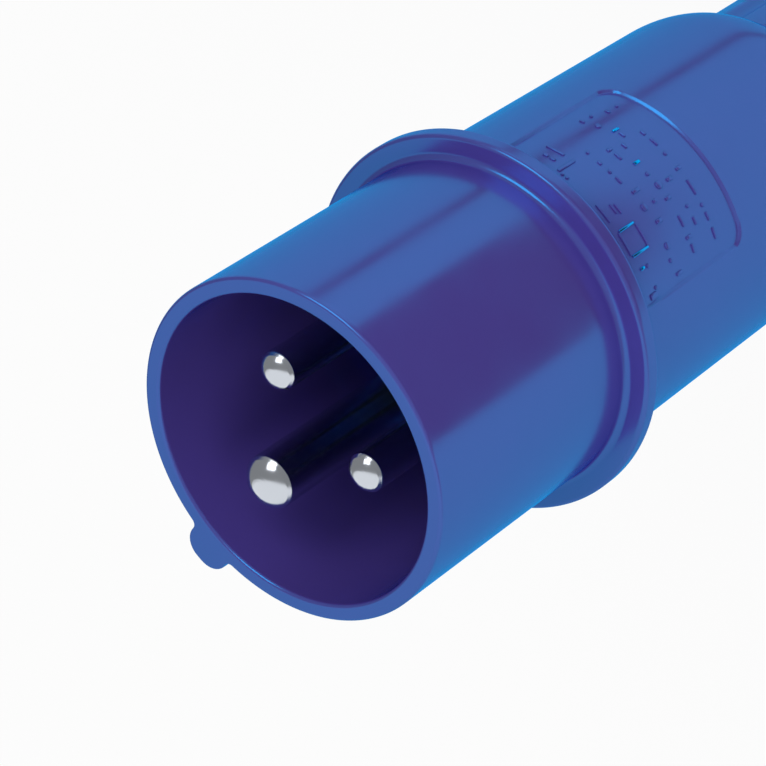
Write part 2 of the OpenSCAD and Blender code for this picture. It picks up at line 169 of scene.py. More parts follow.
def platedNickel(settings, name, axis):
    material, tree = newMaterial("nickel-plated turned brass, " + name)
    place = addNode(tree, "ShaderNodeTexCoord").outputs["Object"]
    centred = addNode(tree, "ShaderNodeMapping", {"Vector": place, "Location": (-axis.x, -axis.y, 0)})
    rings = addNode(tree, "ShaderNodeTexWave", {
        "Vector": centred, "Scale": 0.5 / (settings["ringMm"] * mm), "Distortion": 1.5, "Detail": 2.0,
        "Detail Scale": 1.4}, wave_type="BANDS", bands_direction="Z")
    bump = addNode(tree, "ShaderNodeBump", {"Height": rings, "Strength": settings["ringDepth"],
                                            "Distance": settings["ringHighMm"] * mm})
    smear = addNode(tree, "ShaderNodeTexNoise", {"Vector": place, "Scale": 1 / (settings["smearMm"] * mm),
                                                 "Detail": 2.0})
    rough = addNode(tree, "ShaderNodeMapRange", {
        "Value": smear, "From Min": noiseLow, "From Max": noiseHigh,
        "To Min": settings["roughness"] * (1 - settings["roughnessShare"]),
        "To Max": settings["roughness"] * (1 + settings["roughnessShare"])})
    shader = addNode(tree, "ShaderNodeBsdfPrincipled", {
        "Base Color": hexColour(settings["base"]), "Metallic": 1.0, "Roughness": rough, "Normal": bump})
    addNode(tree, "ShaderNodeOutputMaterial", {"Surface": shader})
    return material


# what the small and inner parts are made of: base and speckle colours, metallic, roughness, IOR, grain in mm
# and how deep the grain looks
plainFinishes = {
    "glass-filled PA, moulded, dark": ("#202126", "#2c2d33", 0.0, 0.42, 1.54, 0.35, 0.12),
    "PA6, moulded, grey": ("#85888f", "#7b7e86", 0.0, 0.45, 1.53, 0.4, 0.08),
    "PA6, moulded, natural": ("#c9cac8", "#bfc0bd", 0.0, 0.4, 1.53, 0.5, 0.08),
    "zinc-plated steel": ("#b9b9b4", "#a3a49f", 1.0, 0.3, 1.5, 0.25, 0.1),
    "NBR rubber, moulded": ("#1a1a1c", "#222225", 0.0, 0.6, 1.52, 0.2, 0.15),
}
plainSettings = {"cloudMm": 3.0, "roughnessShare": 0.2, "grainHighMm": 0.1}
slotFinishes = {
    "dark_insulator": "glass-filled PA, moulded, dark",
    "grey_insulator": "PA6, moulded, grey",
    "pale_polyamide": "PA6, moulded, natural",
    "screw_steel": "zinc-plated steel",
    "black_rubber": "NBR rubber, moulded",
}


def plainFinish(name, base, speckle, metallic, roughness, ior, grainMm, grainDepth):
    material, tree = newMaterial(name)
    place = addNode(tree, "ShaderNodeTexCoord").outputs["Object"]
    cloud = addNode(tree, "ShaderNodeTexNoise", {
        "Vector": place, "Scale": 1 / (plainSettings["cloudMm"] * mm), "Detail": 4.0})
    colour = addNode(tree, "ShaderNodeMix", {0: cloud, 6: hexColour(base), 7: hexColour(speckle)},
                     data_type="RGBA")
    rough = addNode(tree, "ShaderNodeMapRange", {
        "Value": cloud, "From Min": noiseLow, "From Max": noiseHigh,
        "To Min": roughness * (1 - plainSettings["roughnessShare"]),
        "To Max": roughness * (1 + plainSettings["roughnessShare"])})
    grain = addNode(tree, "ShaderNodeTexNoise", {"Vector": place, "Scale": 1 / (grainMm * mm), "Detail": 3.0})
    bump = addNode(tree, "ShaderNodeBump", {"Height": grain, "Strength": grainDepth,
                                            "Distance": plainSettings["grainHighMm"] * mm})
    sockets = {"Base Color": colour.outputs[2], "Metallic": metallic, "Roughness": rough, "Normal": bump}
    if metallic == 0:
        sockets["IOR"] = ior
    shader = addNode(tree, "ShaderNodeBsdfPrincipled", sockets)
    addNode(tree, "ShaderNodeOutputMaterial", {"Surface": shader})
    return material


blueMoulding = mouldedPolyamide(polyamideSettings)
finishes = {name: plainFinish(name, *values) for name, values in plainFinishes.items()}
for row in frame["record"]["subparts"]:
    finish = slotFinishes.get(row["material_slot"])
    for slot in frame["nodes"][row["node"]].material_slots:
        slot.material = finishes[finish] if finish else blueMoulding
print("finishes:", len(finishes) + 1, "ready")


def roundedOutline(corners, arcSteps=6, support=0.15, longest=3.0, closed=True):
    # corners are (radius, height, rounding) in mm; each straight run gets a loop near both its ends, so that
    # the flat faces stay flat when the shading is smooth
    count = len(corners)
    runs = []
    for i, (r, z, rounding) in enumerate(corners):
        here = Vector((r, z))
        before = Vector(corners[i - 1][:2]) - here
        after = Vector(corners[(i + 1) % count][:2]) - here
        if rounding == 0 or (not closed and i in (0, count - 1)):
            runs.append([here])
            continue
        bend = before.angle(after)
        reach = rounding / math.tan(bend / 2)
        start, end = here + before.normalized() * reach, here + after.normalized() * reach
        inward = (before.normalized() + after.normalized()).normalized()
        centre = here + inward * rounding / math.sin(bend / 2)
        arm = start - centre
        turn = arm.angle_signed(end - centre)
        runs.append([centre + Vector((arm.x * math.cos(a) - arm.y * math.sin(a),
                                      arm.x * math.sin(a) + arm.y * math.cos(a)))
                     for a in [-turn * k / arcSteps for k in range(arcSteps + 1)]])
    outline = []
    for i, run in enumerate(runs):
        outline += run
        if not closed and i == count - 1:
            break
        start, end = run[-1], runs[(i + 1) % count][0]
        length = (end - start).length
        if length > 4 * support:
            inner = length - 2 * support
            steps = max(1, math.ceil(inner / longest))
            outline += [start.lerp(end, (support + inner * k / steps) / length) for k in range(steps + 1)]
    if closed:
        outline.append(outline[0])
    return [(p.x * mm, p.y * mm) for p in outline]


def newTree(name, inputs):
    tree = bpy.data.node_groups.new(name, "GeometryNodeTree")
    tree.interface.new_socket("Geometry", in_out="OUTPUT", socket_type="NodeSocketGeometry")
    for label, kind in [("Geometry", "Geometry")] + inputs + [("Material", "Material")]:
        tree.interface.new_socket(label, in_out="INPUT", socket_type="NodeSocket" + kind)
    return tree, addNode(tree, "NodeGroupInput")


def endTree(tree, given, geometry):
    real = addNode(tree, "GeometryNodeRealizeInstances", {"Geometry": geometry})
    painted = addNode(tree, "GeometryNodeSetMaterial",
                      {"Geometry": real, "Material": given.outputs["Material"]})
    addNode(tree, "NodeGroupOutput", {"Geometry": painted})
    return tree


def roundPlace(tree):
    # a point's x, y and z, its distance from the axis and its angle round it
    parts = addNode(tree, "ShaderNodeSeparateXYZ", {0: addNode(tree, "GeometryNodeInputPosition")})
    flat = addNode(tree, "ShaderNodeCombineXYZ", {0: parts.outputs[0], 1: parts.outputs[1]})
    radius = addNode(tree, "ShaderNodeVectorMath", {0: flat}, operation="LENGTH").outputs["Value"]
    angle = addNode(tree, "ShaderNodeMath", {0: parts.outputs[1], 1: parts.outputs[0]}, operation="ARCTAN2")
    return parts, radius, angle


def setRadius(tree, given, parts, radius, kept, chosen):
    # moves points straight towards the axis or away from it, to the distance in kept
    scale = addNode(tree, "ShaderNodeMath", {0: kept, 1: radius}, operation="DIVIDE")
    moved = addNode(tree, "ShaderNodeCombineXYZ", {
        0: addNode(tree, "ShaderNodeMath", {0: parts.outputs[0], 1: scale}, operation="MULTIPLY"),
        1: addNode(tree, "ShaderNodeMath", {0: parts.outputs[1], 1: scale}, operation="MULTIPLY"),
        2: parts.outputs[2]})
    return addNode(tree, "GeometryNodeSetPosition", {"Geometry": given.outputs["Geometry"],
                                                     "Position": moved, "Selection": chosen})


def plainMesh(name, points):
    mesh = bpy.data.meshes.new(name)
    mesh.from_pydata(points, [], [])
    return mesh


def runTree(name, mesh, tree, material, values):
    # runs a tree on a mesh and gives the result back as a plain mesh
    values = {"Material": material, **values}
    source = bpy.data.objects.new(name, mesh)
    bpy.context.scene.collection.objects.link(source)
    modifier = source.modifiers.new(tree.name, "NODES")
    modifier.node_group = tree
    for item in tree.interface.items_tree:
        if item.in_out == "INPUT" and item.name in values:
            modifier[item.identifier] = values[item.name]
    depsgraph = bpy.context.evaluated_depsgraph_get()
    result = bpy.data.meshes.new_from_object(source.evaluated_get(depsgraph), depsgraph=depsgraph)
    source.modifiers.remove(modifier)
    bpy.data.objects.remove(source)
    result.name = name
    return result


meshSettings = {"join": 0.0005 * mm, "degenerate": 0.0002 * mm, "sharp": math.radians(42)}


def turningTree():
    # sweeps an outline of (radius, 0, height) points round the axis through a list of angles
    tree, given = newTree("turned piece", [("Angles", "Object")])
    angles = addNode(tree, "GeometryNodeObjectInfo", {"Object": given.outputs["Angles"]}).outputs["Geometry"]
    rows = addNode(tree, "GeometryNodeAttributeDomainSize", {"Geometry": given.outputs["Geometry"]})
    columns = addNode(tree, "GeometryNodeAttributeDomainSize", {"Geometry": angles})
    grid = addNode(tree, "GeometryNodeMeshGrid", {"Vertices X": columns.outputs["Point Count"],
                                                  "Vertices Y": rows.outputs["Point Count"]})
    index = addNode(tree, "GeometryNodeInputIndex")
    middle = addNode(tree, "ShaderNodeMath", {0: index, 1: 0.5}, operation="ADD")
    share = addNode(tree, "ShaderNodeMath", {0: middle, 1: rows.outputs["Point Count"]}, operation="DIVIDE")
    column = addNode(tree, "ShaderNodeMath", {0: share}, operation="FLOOR")
    passed = addNode(tree, "ShaderNodeMath", {0: column, 1: rows.outputs["Point Count"]},
                     operation="MULTIPLY")
    row = addNode(tree, "ShaderNodeMath", {0: index, 1: passed}, operation="SUBTRACT")
    place = addNode(tree, "GeometryNodeInputPosition")
    point = addNode(tree, "GeometryNodeSampleIndex",
                    {"Geometry": given.outputs["Geometry"], "Value": place, "Index": row},
                    data_type="FLOAT_VECTOR")
    angle = addNode(tree, "GeometryNodeSampleIndex", {"Geometry": angles, "Value": place, "Index": column},
                    data_type="FLOAT_VECTOR")
    turned = addNode(tree, "ShaderNodeVectorRotate", {
        "Vector": point, "Angle": addNode(tree, "ShaderNodeSeparateXYZ", {0: angle})}, rotation_type="Z_AXIS")
    moved = addNode(tree, "GeometryNodeSetPosition", {"Geometry": grid.outputs["Mesh"], "Position": turned})
    merged = addNode(tree, "GeometryNodeMergeByDistance", {"Geometry": moved,
                                                           "Distance": meshSettings["join"]})
    return endTree(tree, given, merged)


turning = turningTree()


def turnPiece(name, outline, angles, material):
    angleObject = bpy.data.objects.new("angles", plainMesh("angles", [(a, 0, 0) for a in angles]))
    bpy.context.scene.collection.objects.link(angleObject)
    mesh = runTree(name, plainMesh(name, [(r, 0, z) for r, z in outline]), turning, material,
                   {"Angles": angleObject})
    bpy.data.objects.remove(angleObject)
    return mesh


def evenAngles(count):
    return [2 * math.pi * i / count for i in range(count + 1)]


def finishMesh(mesh):
    # closes what met after a move, turns all faces outwards and keeps the hard edges hard
    work = bmesh.new()
    work.from_mesh(mesh)
    bmesh.ops.remove_doubles(work, verts=work.verts, dist=meshSettings["join"])
    bmesh.ops.dissolve_degenerate(work, edges=work.edges, dist=meshSettings["degenerate"])
    bmesh.ops.recalc_face_normals(work, faces=work.faces)
    loose = sum(1 for edge in work.edges if len(edge.link_faces) != 2)
    work.to_mesh(mesh)
    work.free()
    mesh.shade_smooth()
    mesh.set_sharp_from_angle(angle=meshSettings["sharp"])
    return loose


def placePiece(name, mesh, body, slot, *nodes):
    loose = finishMesh(mesh)
    piece = bpy.data.objects.new(name, mesh)
    bpy.context.scene.collection.objects.link(piece)
    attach(piece, body)
    if nodes:
        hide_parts(*nodes)
    print(f"{name}: {len(mesh.polygons)} faces, {loose} open edges")


shroudLow, shroudHigh = (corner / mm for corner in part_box("front_shroud"))
rearLow, rearHigh = (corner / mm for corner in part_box("rear_body"))
nutLow, nutHigh = (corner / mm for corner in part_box("gland_nut"))

shroudSettings = {
    "radius": 22.0, "wall": 2.15, "rimRound": 0.45,
    "flangeFront": rearHigh.z + 2.5, "flangeRound": 0.55, "rootFillet": 0.9,
    "floor": rearHigh.z + 1.4, "floorFillet": 0.5,
    "spigotRadius": 19.25, "spigotWall": 1.85, "ledgeRadius": 15.5, "ledge": 3.0,
    "grooveStart": 1.0, "grooveEnd": 3.0, "grooveDepth": 1.0, "columns": 256, "columnGap": 0.004,
    "keyHalfWidth": 3.0, "keyRound": 2.6, "keyFillet": 0.9, "keyEnd": rearHigh.z + 1.875,
    "filletSteps": 8, "sideSteps": 5, "cornerSteps": 10, "crownSteps": 4,
}


def keyOutline(settings):
    # half the key rib's outline across the axis, from the shroud's wall up to its crown, as (angle, radius);
    # the angle is measured from the rib's middle
    half, corner, fillet = settings["keyHalfWidth"], settings["keyRound"], settings["keyFillet"]
    wall, crown = settings["radius"], shroudHigh.y
    outX = half + fillet
    # the fillet's centre lies outside the wall by its own radius
    outY = math.sqrt((wall + fillet) ** 2 - outX ** 2)
    start = math.atan2(-outX, -outY)      # towards the axis
    points = []
    for k in range(settings["filletSteps"] + 1):
        a = start + (-math.pi / 2 - start) * k / settings["filletSteps"]
        points.append((outX + fillet * math.sin(a), outY + fillet * math.cos(a)))
    for k in range(1, settings["sideSteps"]):
        points.append((half, outY + (crown - corner - outY) * k / settings["sideSteps"]))
    for k in range(settings["cornerSteps"] + 1):
        a = math.pi / 2 * k / settings["cornerSteps"]
        points.append((half - corner + corner * math.cos(a), crown - corner + corner * math.sin(a)))
    points += [((half - corner) * (1 - k / settings["crownSteps"]), crown)
               for k in range(1, settings["crownSteps"] + 1)]
    return [(math.atan2(x, y), math.hypot(x, y)) for x, y in points]


def radiusAt(outline, angle):
    # outline runs from the widest angle inwards
    if angle >= outline[0][0]:
        return 0.0
    for (a0, r0), (a1, r1) in zip(outline, outline[1:]):
        if a1 <= angle <= a0:
            return r0 + (r1 - r0) * (a0 - angle) / max(a0 - a1, 1e-9)
    return outline[-1][1]


def makeShroud(settings):
    s = settings
    rim, flangeR, back = shroudHigh.z, shroudHigh.x, rearHigh.z
    inner = s["radius"] - s["wall"]
    grooveTop, grooveLow = back - s["grooveStart"], back - s["grooveEnd"]
    grooveR = s["spigotRadius"] - s["grooveDepth"]
    spigot, spigotIn, end = s["spigotRadius"], s["spigotRadius"] - s["spigotWall"], shroudLow.z
    corners = [
        (inner, rim, s["rimRound"]), (s["radius"], rim, s["rimRound"]),
        (s["radius"], s["flangeFront"], s["rootFillet"]),
        (flangeR, s["flangeFront"], s["flangeRound"]), (flangeR, back, s["flangeRound"]),
        (spigot, back, 0), (spigot, grooveTop, 0.1), (grooveR, grooveTop, 0.1), (grooveR, grooveLow, 0.1),
        (spigot, grooveLow, 0.1), (spigot, end, 0.4), (spigotIn, end, 0.2),
        (spigotIn, s["floor"] - s["ledge"], 0.1), (s["ledgeRadius"], s["floor"] - s["ledge"], 0.1),
        (s["ledgeRadius"], s["floor"], 0.15), (inner, s["floor"], s["floorFillet"])]
    outline = roundedOutline(corners, arcSteps=8)
    key = keyOutline(s)
    middle = math.pi / 2
    near = [middle + side * a for a, r in key for side in (1, -1)]
    widest = key[0][0]
    others = [a for a in evenAngles(s["columns"]) if abs(a - middle) > widest + s["columnGap"]]
    angles = sorted(set(round(a, 7) for a in near + others))
    mesh = turnPiece("front_shroud_shell", outline, angles, blueMoulding)
    wall = s["radius"] * mm
    for vertex in mesh.vertices:
        x, y, z = vertex.co
        r = math.hypot(x, y)
        if z < s["keyEnd"] * mm or r < (s["radius"] - s["rimRound"]) * mm - 1e-6 or y < 0:
            continue
        target = radiusAt(key, abs(math.atan2(x, y))) * mm
        if target == 0:
            continue
        if z > (rim - s["rimRound"]) * mm - 1e-7:
            target -= wall - r       # keeps the rim's rounding on the rib's end
        if target > r:
            vertex.co.x, vertex.co.y = x * target / r, y * target / r
    placePiece("front_shroud_shell", mesh, "housing", "blue_polyamide", "front_shroud")


makeShroud(shroudSettings)

panelSettings = {
    "halfWidth": 13.1, "top": rearHigh.z - 3, "bottom": rearHigh.z - 26, "corner": 2.0, "depth": 0.4,
    "edge": 0.14, "margin": 0.4, "band": 2.2, "rowStep": 0.12, "columnBand": (-0.125, 0.02),
    "columnStep": 0.0062, "columnGap": 0.01,
}
rearSettings = {
    "taper": 0.4, "wall": 2.2, "round": 0.3, "shoulderTop": rearLow.z + 22, "shoulder": rearLow.z + 13,
    "shoulderRadius": 17.2, "neck": 14.0, "neckStep": 0.125, "chamfer": 0.6, "pocket": 11.0,
    "pocketTop": rearLow.z + 12, "entry": 8.5, "entryTop": rearLow.z + 14.5, "entryRound": 3.0,
    "socketEnd": rearHigh.z - 10.1, "steps": 20, "cavitySteps": 10, "roundSteps": 5, "columns": 200,
    "rowSteps": (2.5, 1.5, 0.8),     # below the panel, in its middle and above it
}
threadSettings = {"Radius": 14.0 * mm, "Reach": 0.1 * mm, "Depth": 0.62 * mm, "Pitch": 2.0 * mm,
                  "Low": (rearLow.z + 0.5) * mm, "High": (rearLow.z + 12.4) * mm, "Run-out": 1.2 * mm}


def threadTree():
    # cuts a right-hand helix into the plain neck, with a run-out at both ends
    tree, given = newTree("neck thread", [("Radius", "Float"), ("Reach", "Float"), ("Depth", "Float"),
                                          ("Pitch", "Float"), ("Low", "Float"), ("High", "Float"),
                                          ("Run-out", "Float")])
    parts, radius, angle = roundPlace(tree)
    turns = addNode(tree, "ShaderNodeMath", {0: angle, 1: 2 * math.pi}, operation="DIVIDE")
    climb = addNode(tree, "ShaderNodeMath", {0: parts.outputs[2], 1: given.outputs["Pitch"]},
                    operation="DIVIDE")
    phase = addNode(tree, "ShaderNodeMath", {0: climb, 1: turns}, operation="SUBTRACT")
    wave = addNode(tree, "ShaderNodeMath", {0: phase, 1: 1.0}, operation="PINGPONG")
    groove = addNode(tree, "ShaderNodeMapRange", {"Value": wave, "From Min": 0.25, "From Max": 0.75},
                     interpolation_type="SMOOTHSTEP")
    lowEnd = addNode(tree, "ShaderNodeMath", {0: given.outputs["Low"], 1: given.outputs["Run-out"]},
                     operation="ADD")
    highStart = addNode(tree, "ShaderNodeMath", {0: given.outputs["High"], 1: given.outputs["Run-out"]},
                        operation="SUBTRACT")
    fadeIn = addNode(tree, "ShaderNodeMapRange", {"Value": parts.outputs[2], "From Min": given.outputs["Low"],
                                                  "From Max": lowEnd}, interpolation_type="SMOOTHSTEP")
    fadeOut = addNode(tree, "ShaderNodeMapRange", {"Value": parts.outputs[2], "From Min": highStart,
                                                   "From Max": given.outputs["High"], "To Min": 1.0,
                                                   "To Max": 0.0}, interpolation_type="SMOOTHSTEP")
    fade = addNode(tree, "ShaderNodeMath", {0: fadeIn, 1: fadeOut}, operation="MULTIPLY")
    cut = addNode(tree, "ShaderNodeMath", {0: groove, 1: fade}, operation="MULTIPLY")
    depth = addNode(tree, "ShaderNodeMath", {0: cut, 1: given.outputs["Depth"]}, operation="MULTIPLY")
    kept = addNode(tree, "ShaderNodeMath", {0: radius, 1: depth}, operation="SUBTRACT")
    onNeck = addNode(tree, "ShaderNodeMath", {
        0: radius, 1: given.outputs["Radius"], 2: given.outputs["Reach"]}, operation="COMPARE")
    return endTree(tree, given, setRadius(tree, given, parts, radius, kept, onNeck))


def roundedRectangle(x, z, halfX, halfZ, corner):
    # signed distance to the panel's edge, less than zero inside
    dx, dz = abs(x) - halfX + corner, abs(z) - halfZ + corner
    return math.hypot(max(dx, 0), max(dz, 0)) + min(max(dx, dz), 0) - corner


def smoothStep(low, high, value):
    # 0 at low, 1 at high, with no kink at either end
    t = min(max((value - low) / (high - low), 0), 1)
    return t * t * (3 - 2 * t)


def spread(low, high, step):
    # even places from low to high, about one step apart
    count = max(1, round((high - low) / step))
    return [low + (high - low) * k / count for k in range(count + 1)]


def makeRearBody(settings, panel, thread):
    s = settings
    top, bottom, radius = rearHigh.z, rearLow.z, rearHigh.x
    endR, socket, cavity = radius - s["taper"], radius - s["wall"], radius - s["taper"] - s["wall"]
    # outer wall with close rows where the panel's edges are, then the shoulder, the neck and the inside
    lowBand = (panel["bottom"] - panel["margin"], panel["bottom"] + panel["band"])
    highBand = (panel["top"] - panel["band"], panel["top"] + panel["margin"])
    below, across, above = s["rowSteps"]
    heights = sorted(set(round(z, 4) for z in
                         spread(s["shoulderTop"], lowBand[0], below) + spread(*lowBand, panel["rowStep"])
                         + spread(lowBand[1], highBand[0], across) + spread(*highBand, panel["rowStep"])
                         + spread(highBand[1], top - s["round"], above)), reverse=True)
    outer = [(endR + s["taper"] * (z - s["shoulderTop"]) / (top - s["shoulderTop"]), z) for z in heights]
    ellipse = [(endR - (endR - s["shoulderRadius"]) * (1 - math.cos(a)),
                s["shoulderTop"] - (s["shoulderTop"] - s["shoulder"]) * math.sin(a))
               for a in [math.pi / 2 * k / s["steps"] for k in range(1, s["steps"] + 1)]]
    neckTop = s["shoulder"] - 0.05
    neck = [(s["neck"], z) for z in spread(bottom + s["chamfer"], neckTop, s["neckStep"])[::-1]]
    cavityArc = [(cavity - (cavity - s["entry"] - s["entryRound"]) * (1 - math.cos(a)),
                  s["shoulderTop"] - (s["shoulderTop"] - s["entryTop"]) * math.sin(a))
                 for a in [math.pi / 2 * k / s["cavitySteps"] for k in range(s["cavitySteps"], -1, -1)]]
    rounding = [(radius - s["round"] * (1 - math.sin(a)), top - s["round"] * (1 - math.cos(a)))
                for a in [math.pi / 2 * k / s["roundSteps"] for k in range(s["roundSteps"] + 1)]]
    points = ([(socket, top), (socket + 0.1, top), (radius - 0.45, top)] + rounding + outer[1:] + ellipse
              + [(s["shoulderRadius"] - 0.1, s["shoulder"]), (s["neck"] + 0.1, s["shoulder"])] + neck
              + [(s["neck"] - s["chamfer"], bottom), (s["pocket"], bottom), (s["pocket"], s["pocketTop"]),
                 (s["entry"], s["pocketTop"]), (s["entry"], s["entryTop"])] + cavityArc
              + [(cavity, s["socketEnd"] - 0.5), (socket, s["socketEnd"]), (socket, top)])
    outline = [(r * mm, z * mm) for r, z in points]
    # angles: close where the panel's sides are
    sideAngle = math.asin(panel["halfWidth"] / radius)
    band = [sideAngle + a for a in spread(*panel["columnBand"], panel["columnStep"])]
    near = [-math.pi / 2 + side * a for a in band for side in (1, -1)]
    low, high = min(band), max(band)
    others = [a for a in spread(-math.pi, math.pi, 2 * math.pi / s["columns"])
              if not low - panel["columnGap"] < abs(a + math.pi / 2) < high + panel["columnGap"]]
    angles = sorted(set(round(a, 6) for a in near + others))
    mesh = turnPiece("rear_body_shell", outline, angles, blueMoulding)
    mesh = runTree("rear_body_shell", mesh, threadTree(), blueMoulding, thread)
    centre = (panel["top"] + panel["bottom"]) / 2
    halfZ = (panel["top"] - panel["bottom"]) / 2
    for vertex in mesh.vertices:
        x, y, z = (c / mm for c in vertex.co)
        r = math.hypot(x, y)
        if y > 0 or r < endR - s["round"] or z < s["shoulderTop"]:
            continue
        away = roundedRectangle(x, z - centre, panel["halfWidth"], halfZ, panel["corner"])
        sink = panel["depth"] * smoothStep(panel["edge"], -panel["edge"], away) if away < panel["edge"] else 0
        vertex.co.x, vertex.co.y = vertex.co.x * (r - sink) / r, vertex.co.y * (r - sink) / r
    placePiece("rear_body_shell", mesh, "housing", "blue_polyamide", "rear_body")


makeRearBody(rearSettings, panelSettings, threadSettings)

# raised marks in the sunk panel, in rows that run round the body: bars, dots and a hollow rectangle that
# stand in for moulded lettering. Each row is (angle, height from the body's front edge, width, height, round)
marksSettings = {"proud": 0.2, "buried": 0.08, "bevel": 0.12, "bevelSteps": 3, "sharp": math.radians(50),
                 "join": 0.001 * mm}
markList = [
    (-64.6, 8.45, 2.7, 0.46, 0), (-64.2, 6.6, 0.75, 0.46, 0), (-67.1, 6.6, 0.85, 0.46, 0),
    (-72.1, 6.9, 0.5, 3.4, 0), (-74.1, 5.1, 0.5, 0.5, 1), (-76.1, 5.1, 0.5, 0.5, 1),
    (-60.0, 16.65, 0.75, 0.42, 0), (-60.1, 18.55, 0.5, 0.5, 1), (-65.4, 17.25, 0.85, 0.85, 1),
    (-62.1, 21.1, 0.75, 0.42, 0), (-62.2, 23.05, 0.5, 0.5, 1),
    (-70.5, 18.4, 0.4, 1.3, 0), (-73.4, 18.4, 1.0, 0.35, 0), (-77.4, 16.85, 0.9, 0.4, 0),
    (-77.1, 21.2, 0.8, 0.5, 0), (-82.0, 21.2, 1.3, 0.35, 0), (-75.7, 14.45, 0.5, 0.9, 0),
    (-79.5, 14.45, 1.2, 0.35, 0), (-72.3, 11.4, 0.5, 0.5, 1), (-77.9, 11.2, 0.7, 0.42, 0),
    (-82.5, 11.2, 0.6, 0.6, 1), (-86.6, 11.2, 1.1, 0.35, 0), (-90.1, 15.95, 0.6, 0.6, 1),
    (-84.8, 15.95, 0.45, 1.2, 0), (-87.6, 21.1, 0.6, 0.6, 1), (-92.7, 12.2, 0.5, 1.4, 0),
    (-95.3, 16.2, 1.1, 1.1, 1), (-95.5, 18.5, 0.55, 1.1, 0), (-98.8, 11.6, 1.05, 1.0, 1),
    (-99.0, 13.8, 0.5, 0.6, 0), (-100.6, 16.2, 0.5, 1.1, 0), (-105.2, 12.5, 0.55, 1.1, 0),
    (-93.1, 4.95, 2.8, 0.3, 0), (-93.6, 6.9, 1.5, 0.3, 0), (-94.4, 7.6, 1.5, 0.3, 0),
    (-105.4, 5.05, 3.2, 0.36, 0), (-105.6, 8.6, 3.5, 0.36, 0), (-100.9, 6.85, 0.36, 3.2, 0),
    (-110.2, 6.85, 0.36, 3.4, 0), (-115.5, 7.0, 0.6, 0.6, 1), (-115.2, 5.9, 0.4, 0.9, 0),
    (-113.8, 11.8, 1.0, 0.9, 1), (-118.6, 11.4, 0.6, 0.6, 1), (-123.4, 7.1, 0.55, 0.55, 1),
    (-125.4, 6.3, 0.8, 1.4, 0), (-109.5, 16.2, 1.6, 0.4, 0), (-115.5, 16.2, 0.5, 1.1, 0),
    (-119.6, 16.2, 1.2, 0.4, 0), (-102.0, 21.1, 2.2, 0.4, 0), (-109.0, 21.1, 0.6, 0.6, 1),
    (-113.2, 21.1, 1.2, 0.4, 0), (-119.5, 21.1, 1.6, 0.4, 0), (-94.2, 21.1, 0.5, 1.0, 0),
    (-124.0, 12.2, 0.5, 1.2, 0), (-106.5, 18.5, 0.5, 0.5, 1), (-112.0, 18.5, 1.1, 0.4, 0),
]


def marksTree():
    # puts a bar or a dot on each point of the flat drawing, then wraps the drawing round the body
    tree, given = newTree("panel marks", [("Front radius", "Float"), ("Front height", "Float"),
                                          ("Slope", "Float"), ("Buried", "Float")])
    points = given.outputs["Geometry"]
    size = addNode(tree, "GeometryNodeInputNamedAttribute", {"Name": "size"}, data_type="FLOAT_VECTOR")
    dotted = addNode(tree, "GeometryNodeInputNamedAttribute", {"Name": "dotted"}, data_type="BOOLEAN")
    barred = addNode(tree, "FunctionNodeBooleanMath", {0: dotted}, operation="NOT")
    bar = addNode(tree, "GeometryNodeMeshCube", {"Size": (1, 1, 1), "Vertices X": 5})
    dot = addNode(tree, "GeometryNodeMeshCylinder", {"Vertices": 20, "Radius": 0.5, "Depth": 1.0})
    bars = addNode(tree, "GeometryNodeInstanceOnPoints", {"Points": points, "Selection": barred,
                                                          "Instance": bar, "Scale": size})
    dots = addNode(tree, "GeometryNodeInstanceOnPoints", {"Points": points, "Selection": dotted,
                                                          "Instance": dot, "Scale": size})
    joined = addNode(tree, "GeometryNodeJoinGeometry", {"Geometry": bars})
    tree.links.new(dots.outputs[0], joined.inputs["Geometry"])
    real = addNode(tree, "GeometryNodeRealizeInstances", {"Geometry": joined})
    # x is the way round at the front radius, y the distance from the front edge, z the height of the mark
    parts = addNode(tree, "ShaderNodeSeparateXYZ", {0: addNode(tree, "GeometryNodeInputPosition")})
    angle = addNode(tree, "ShaderNodeMath", {0: parts.outputs[0], 1: given.outputs["Front radius"]},
                    operation="DIVIDE")
    narrow = addNode(tree, "ShaderNodeMath", {0: parts.outputs[1], 1: given.outputs["Slope"]},
                     operation="MULTIPLY")
    base = addNode(tree, "ShaderNodeMath", {0: given.outputs["Front radius"], 1: narrow},
                   operation="SUBTRACT")
    sunk = addNode(tree, "ShaderNodeMath", {0: base, 1: given.outputs["Buried"]}, operation="SUBTRACT")
    radius = addNode(tree, "ShaderNodeMath", {0: sunk, 1: parts.outputs[2]}, operation="ADD")
    height = addNode(tree, "ShaderNodeMath", {0: given.outputs["Front height"], 1: parts.outputs[1]},
                     operation="SUBTRACT")
    flat = addNode(tree, "ShaderNodeCombineXYZ", {0: radius, 2: height})
    around = addNode(tree, "ShaderNodeVectorRotate", {"Vector": flat, "Angle": angle}, rotation_type="Z_AXIS")
    wrapped = addNode(tree, "GeometryNodeSetPosition", {"Geometry": real, "Position": around})
    return endTree(tree, given, wrapped)


